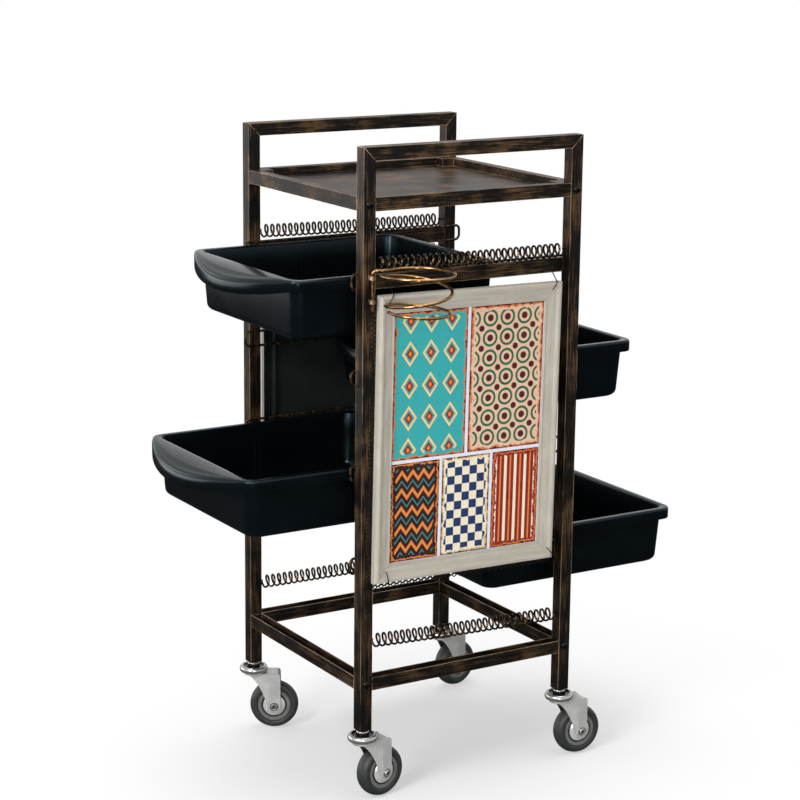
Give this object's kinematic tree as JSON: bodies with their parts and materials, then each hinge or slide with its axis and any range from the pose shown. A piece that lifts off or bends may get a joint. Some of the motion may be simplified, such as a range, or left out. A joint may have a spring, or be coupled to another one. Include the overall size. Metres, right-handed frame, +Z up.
{
  "type": "rolling salon trolley",
  "caption": "Rolling salon trolley with square-tube end frames, a recessed top, sliding trays, coil-spring organisers, a hair-dryer ring and swivel casters.",
  "frame": {"origin": "on the floor, under the centre of the whole object's bounding box with the trays where they rest", "axes": "+Z up; X runs along the end frames, the way the trays slide, with two trays drawn out to -X and two to +X; -Y is the near end, with the hung picture and the dryer ring"},
  "size_m": [0.776, 0.484, 0.943],
  "materials": {
    "frame_steel": "black-brown paint brushed with copper, worn on the edges",
    "spring_wire": "black with thin copper highlights",
    "tray_plastic": "satin black moulded plastic",
    "copper_wire": "antique copper wire",
    "bolt_steel": "black button-head bolts",
    "limed_wood": "limed grey-beige moulding",
    "poster": "printed panel of plain geometric colour fields",
    "dark_board": "dark glossy board",
    "mesh_steel": "black expanded mesh",
    "black_wire": "black coated wire",
    "zinc": "bright zinc plating",
    "grey_rubber": "dark grey rubber",
    "grey_core": "mid-grey plastic"
  },
  "bodies": {
    "trolley_frame": {"end_frame_near": "frame_steel", "end_frame_far": "frame_steel", "cross_bar_near": "frame_steel", "cross_bar_far": "frame_steel", "top_tray": "frame_steel", "bottom_channel_near": "frame_steel", "bottom_channel_far": "frame_steel", "bottom_channel_left": "frame_steel", "bottom_channel_right": "frame_steel", "rail_1_near": "frame_steel", "rail_1_far": "frame_steel", "rail_2_near": "frame_steel", "rail_2_far": "frame_steel", "rail_3_near": "frame_steel", "rail_3_far": "frame_steel", "rail_4_near": "frame_steel", "rail_4_far": "frame_steel", "spring_upper_near": "spring_wire", "spring_upper_far": "spring_wire", "spring_lower_near": "spring_wire", "spring_lower_far": "spring_wire", "bolt_top_near_left": "bolt_steel", "bolt_top_near_right": "bolt_steel", "bolt_top_far_left": "bolt_steel", "bolt_top_far_right": "bolt_steel", "bolt_bottom_near_left": "bolt_steel", "bolt_bottom_near_right": "bolt_steel", "bolt_bottom_far_left": "bolt_steel", "bolt_bottom_far_right": "bolt_steel", "picture_frame": "limed_wood", "picture_panel": "poster", "mesh_panel": "mesh_steel", "hanger_left": "black_wire", "hanger_right": "black_wire", "far_picture": "dark_board", "caster_near_left_head": "zinc", "caster_near_right_head": "zinc", "caster_far_left_head": "zinc", "caster_far_right_head": "zinc"},
    "tray_1": {"tray_1": "tray_plastic"},
    "tray_2": {"tray_2": "tray_plastic"},
    "tray_3": {"tray_3": "tray_plastic"},
    "tray_4": {"tray_4": "tray_plastic"},
    "dryer_ring": {"dryer_holder": "copper_wire"},
    "caster_near_left_swivel": {"caster_near_left_fork": "zinc", "caster_near_left_axle": "zinc"},
    "caster_near_left_wheel": {"caster_near_left_tyre": "grey_rubber", "caster_near_left_hub": "grey_core"},
    "caster_near_right_swivel": {"caster_near_right_fork": "zinc", "caster_near_right_axle": "zinc"},
    "caster_near_right_wheel": {"caster_near_right_tyre": "grey_rubber", "caster_near_right_hub": "grey_core"},
    "caster_far_left_swivel": {"caster_far_left_fork": "zinc", "caster_far_left_axle": "zinc"},
    "caster_far_left_wheel": {"caster_far_left_tyre": "grey_rubber", "caster_far_left_hub": "grey_core"},
    "caster_far_right_swivel": {"caster_far_right_fork": "zinc", "caster_far_right_axle": "zinc"},
    "caster_far_right_wheel": {"caster_far_right_tyre": "grey_rubber", "caster_far_right_hub": "grey_core"}
  },
  "joints": [
    {"name": "tray_1_slide", "type": "slide", "parent": "trolley_frame", "child": "tray_1", "axis": [1, 0, 0], "range_m": [-0.118, 0.332]},
    {"name": "tray_2_slide", "type": "slide", "parent": "trolley_frame", "child": "tray_2", "axis": [1, 0, 0], "range_m": [-0.354, 0.096]},
    {"name": "tray_3_slide", "type": "slide", "parent": "trolley_frame", "child": "tray_3", "axis": [1, 0, 0], "range_m": [-0.0465, 0.4035]},
    {"name": "tray_4_slide", "type": "slide", "parent": "trolley_frame", "child": "tray_4", "axis": [1, 0, 0], "range_m": [-0.4395, 0.0105]},
    {"name": "dryer_ring_swing", "type": "hinge", "parent": "trolley_frame", "child": "dryer_ring", "pos_m": [-0.171, -0.13559, 0.745], "axis": [0, 0, 1], "range_deg": [-90, 0]},
    {"name": "near_left_swivel", "type": "hinge", "parent": "trolley_frame", "child": "caster_near_left_swivel", "pos_m": [-0.172, -0.11979, 0.1], "axis": [0, 0, 1], "continuous": true},
    {"name": "near_left_wheel_spin", "type": "hinge", "parent": "caster_near_left_swivel", "child": "caster_near_left_wheel", "pos_m": [-0.14035, -0.11506, 0.0375], "axis": [-0.1478, 0.989, 0], "continuous": true},
    {"name": "near_right_swivel", "type": "hinge", "parent": "trolley_frame", "child": "caster_near_right_swivel", "pos_m": [0.172, -0.11979, 0.1], "axis": [0, 0, 1], "continuous": true},
    {"name": "near_right_wheel_spin", "type": "hinge", "parent": "caster_near_right_swivel", "child": "caster_near_right_wheel", "pos_m": [0.20396, -0.12146, 0.0375], "axis": [0.0523, 0.9986, 0], "continuous": true},
    {"name": "far_left_swivel", "type": "hinge", "parent": "trolley_frame", "child": "caster_far_left_swivel", "pos_m": [-0.172, 0.21562, 0.1], "axis": [0, 0, 1], "continuous": true},
    {"name": "far_left_wheel_spin", "type": "hinge", "parent": "caster_far_left_swivel", "child": "caster_far_left_wheel", "pos_m": [-0.14429, 0.19961, 0.0375], "axis": [0.5, 0.866, 0], "continuous": true},
    {"name": "far_right_swivel", "type": "hinge", "parent": "trolley_frame", "child": "caster_far_right_swivel", "pos_m": [0.172, 0.21562, 0.1], "axis": [0, 0, 1], "continuous": true},
    {"name": "far_right_wheel_spin", "type": "hinge", "parent": "caster_far_right_swivel", "child": "caster_far_right_wheel", "pos_m": [0.20351, 0.22117, 0.0375], "axis": [-0.1736, 0.9848, 0], "continuous": true}
  ]
}
